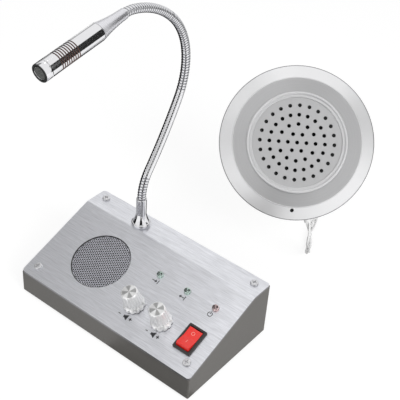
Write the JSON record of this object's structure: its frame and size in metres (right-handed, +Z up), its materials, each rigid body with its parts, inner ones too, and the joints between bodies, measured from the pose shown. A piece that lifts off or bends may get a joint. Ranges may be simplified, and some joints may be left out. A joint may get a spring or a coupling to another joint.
{
  "type": "teller window intercom",
  "caption": "Counter intercom with a gooseneck microphone, volume knobs and a rocker switch on a sloping panel, and a round window speaker unit on a lead.",
  "frame": {"origin": "on the desk plane, under the middle of the counter unit's base", "axes": "+X along the counter unit to the right as its user sees it, -Y towards the user, +Z up"},
  "size_m": [0.1614, 0.3088, 0.2322],
  "materials": {
    "case_paint": "fine matt texture, warm grey",
    "panel_steel": "brushed along the panel's length",
    "bright_fixings": "polished",
    "zinc_fixings": "zinc plated",
    "black_rubber": "matt",
    "black_plastic": "satin black",
    "knob_metal": "turned, with a spun top",
    "rocker_red": "gloss red",
    "lamp_green": "clear tinted green",
    "lamp_red": "clear tinted red",
    "board_laminate": "solder resist",
    "parts_black": "moulded",
    "speaker_mesh": "perforated sheet",
    "basket_steel": "black stove enamel",
    "cone_paper": "black felted paper",
    "magnet_ferrite": "ground ferrite",
    "chrome_plate": "polished plate",
    "contact_brass": "bright",
    "window_silver": "satin silver",
    "back_plastic": "silver-grey moulding",
    "pad_foam": "closed-cell foam",
    "lead_pvc": "pale grey"
  },
  "bodies": {
    "unit": {"base_case": "case_paint", "top_panel": "panel_steel", "panel_screws": "bright_fixings", "rubber_feet": "black_rubber", "power_inlet": "black_plastic", "lead_socket": "black_plastic", "socket_nuts": "zinc_fixings", "switch_housing": "black_plastic", "switch_terminals": "contact_brass", "activity_lamps": "lamp_green", "power_lamp": "lamp_red", "main_board": "board_laminate", "board_spacers": "zinc_fixings", "board_screws": "zinc_fixings", "board_components": "parts_black", "pot_housings": "zinc_fixings", "pot_nuts": "zinc_fixings", "speaker_grille": "speaker_mesh", "speaker_basket": "basket_steel", "speaker_cone": "cone_paper", "speaker_magnet": "magnet_ferrite", "speaker_clips": "zinc_fixings", "ferrule": "chrome_plate", "ferrule_nut": "zinc_fixings", "hose_1": "chrome_plate", "window_bezel": "window_silver", "window_bead": "window_silver", "window_grille": "window_silver", "window_back": "back_plastic", "window_pad": "pad_foam", "window_screws": "zinc_fixings", "window_speaker_basket": "basket_steel", "window_speaker_cone": "cone_paper", "window_speaker_magnet": "magnet_ferrite", "window_mic_capsule": "zinc_fixings", "window_mic_gasket": "black_rubber", "lead_grommet": "black_rubber", "lead_tube": "lead_pvc", "lead_coil": "lead_pvc", "lead_tail": "lead_pvc", "plug_boot": "black_plastic", "plug_shell": "black_plastic", "plug_tip": "contact_brass"},
    "left_knob": {"knob_left": "knob_metal", "knob_cap_left": "knob_metal", "pot_shaft_left": "knob_metal"},
    "right_knob": {"knob_right": "knob_metal", "knob_cap_right": "knob_metal", "pot_shaft_right": "knob_metal"},
    "rocker": {"switch_rocker": "rocker_red"},
    "neck_2": {"hose_2": "chrome_plate"},
    "neck_3": {"hose_3": "chrome_plate"},
    "neck_4": {"hose_4": "chrome_plate"},
    "neck_5": {"hose_5": "chrome_plate"},
    "microphone": {"hose_6": "chrome_plate", "mic_tail": "chrome_plate", "mic_barrel": "chrome_plate", "mic_rim": "chrome_plate", "mic_mesh": "speaker_mesh", "mic_capsule": "zinc_fixings"}
  },
  "joints": [
    {"name": "volume_left_turn", "type": "hinge", "parent": "unit", "child": "left_knob", "pos_m": [0.0117, -0.02208, 0.02937], "axis": [0, -0.3461, 0.9382], "range_deg": [-150, 150]},
    {"name": "volume_right_turn", "type": "hinge", "parent": "unit", "child": "right_knob", "pos_m": [0.0371, -0.02208, 0.02937], "axis": [0, -0.3461, 0.9382], "range_deg": [-150, 150]},
    {"name": "power_rock", "type": "hinge", "parent": "unit", "child": "rocker", "pos_m": [0.0625, -0.02173, 0.02843], "axis": [1, 0, 0], "range_deg": [0, 16]},
    {"name": "neck_nod_1", "type": "hinge", "parent": "unit", "child": "neck_2", "pos_m": [-0.0314, 0.03523, 0.08658], "axis": [1, 0, 0], "range_deg": [-14, 14]},
    {"name": "neck_sway_2", "type": "hinge", "parent": "neck_2", "child": "neck_3", "pos_m": [-0.0314, 0.05792, 0.12188], "axis": [0, 0.8582, -0.5133], "range_deg": [-14, 14]},
    {"name": "neck_nod_3", "type": "hinge", "parent": "neck_3", "child": "neck_4", "pos_m": [-0.0314, 0.07461, 0.15799], "axis": [1, 0, 0], "range_deg": [-14, 14]},
    {"name": "neck_sway_4", "type": "hinge", "parent": "neck_4", "child": "neck_5", "pos_m": [-0.0314, 0.06849, 0.19668], "axis": [0, 0.8689, 0.4949], "range_deg": [-14, 14]},
    {"name": "neck_nod_5", "type": "hinge", "parent": "neck_5", "child": "microphone", "pos_m": [-0.0314, 0.03888, 0.22263], "axis": [1, 0, 0], "range_deg": [-14, 14]}
  ]
}
